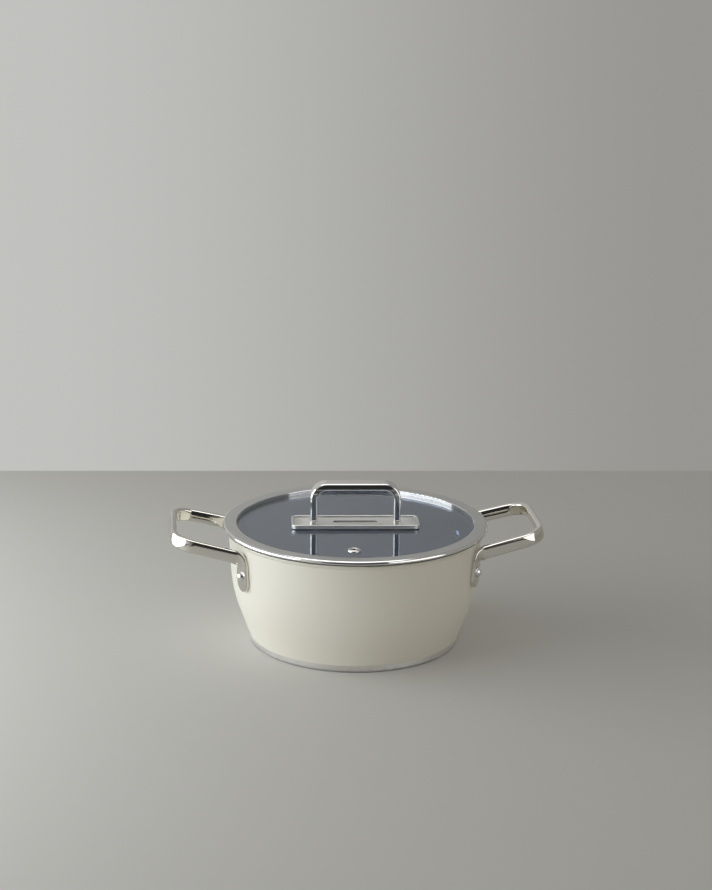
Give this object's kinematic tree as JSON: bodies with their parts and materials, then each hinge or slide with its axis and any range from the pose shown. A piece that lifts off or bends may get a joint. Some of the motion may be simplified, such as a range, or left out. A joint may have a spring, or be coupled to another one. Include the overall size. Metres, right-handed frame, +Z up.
{
  "type": "saucepan",
  "caption": "Low coated pan with looped side handles, an encapsulated steel base and a flat steel-rimmed glass lid with a bow handle and steam vent.",
  "frame": {"origin": "middle of the underside, on the surface that the pan stands on", "axes": "+X through the right side handle, +Z up out of the pan, so +Y is the back"},
  "size_m": [0.299, 0.213, 0.1302],
  "materials": {
    "cream_coating": "satin",
    "satin_steel": "satin",
    "polished_steel": "polished",
    "aluminium": "satin",
    "lid_glass": "gloss",
    "silicone": "matte"
  },
  "bodies": {
    "pan": {"pan_body": "cream_coating", "base_cap": "satin_steel", "base_core": "aluminium", "left_handle": "polished_steel", "right_handle": "polished_steel", "left_handle_rivets": "polished_steel", "right_handle_rivets": "polished_steel"},
    "lid": {"lid_rim": "satin_steel", "lid_glass": "lid_glass", "lid_handle_plate": "satin_steel", "lid_handle_gasket": "silicone", "lid_handle_bow": "polished_steel", "lid_handle_grommets": "silicone", "lid_handle_washers": "satin_steel", "lid_handle_screws": "satin_steel", "steam_vent_eyelet": "polished_steel", "steam_vent_washer": "silicone"}
  },
  "joints": [
    {"name": "lid_lift", "type": "slide", "parent": "pan", "child": "lid", "axis": [0, 0, 1], "range_m": [0, 0.18]}
  ]
}
